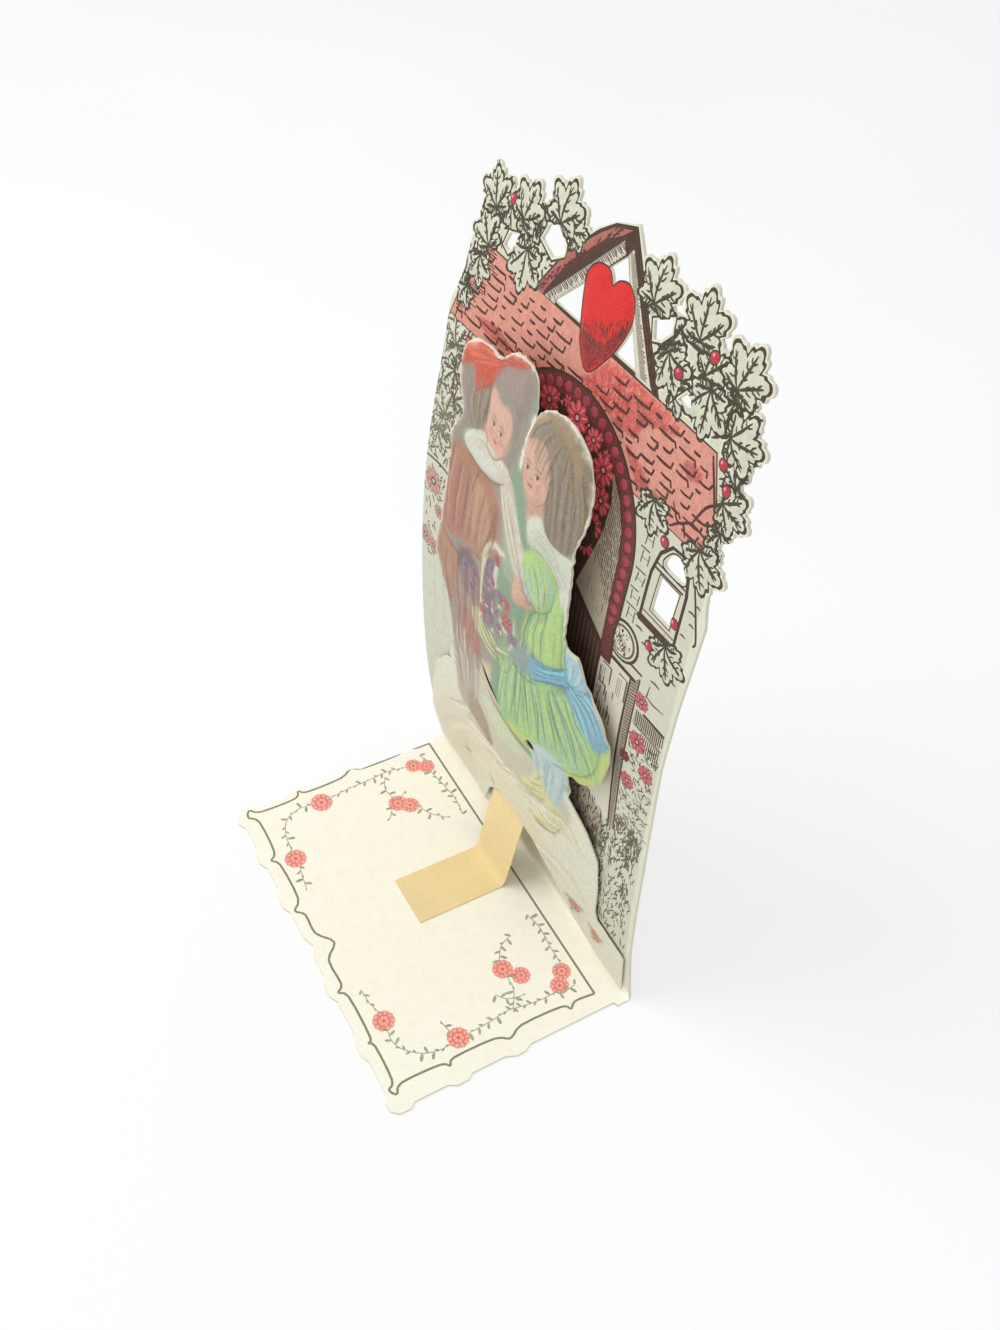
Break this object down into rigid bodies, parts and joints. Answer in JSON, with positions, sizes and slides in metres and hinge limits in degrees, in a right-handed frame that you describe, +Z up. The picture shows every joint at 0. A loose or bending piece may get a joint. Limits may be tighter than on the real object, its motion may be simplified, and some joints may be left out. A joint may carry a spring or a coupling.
{
  "type": "greeting card",
  "caption": "Stand-up die-cut greeting card: a folded card sheet with a lying base and a standing panel, a figure sheet in front and a paper strap that holds it forward.",
  "frame": {"origin": "middle of the card's footprint on the surface it stands on, at the centre of the bounding box's underside", "axes": "+X along the fold, to the right seen from the front; +Y from the front edge of the base towards the back of the panel; +Z up"},
  "size_m": [0.085, 0.063, 0.157],
  "materials": {
    "card_stock": "matt printed card",
    "printed_layer": "matt printed card",
    "strap_paper": "plain brown paper"
  },
  "bodies": {
    "root": {"card_sheet": "card_stock", "figure_layer": "printed_layer", "pull_strap": "strap_paper"}
  },
  "joints": []
}
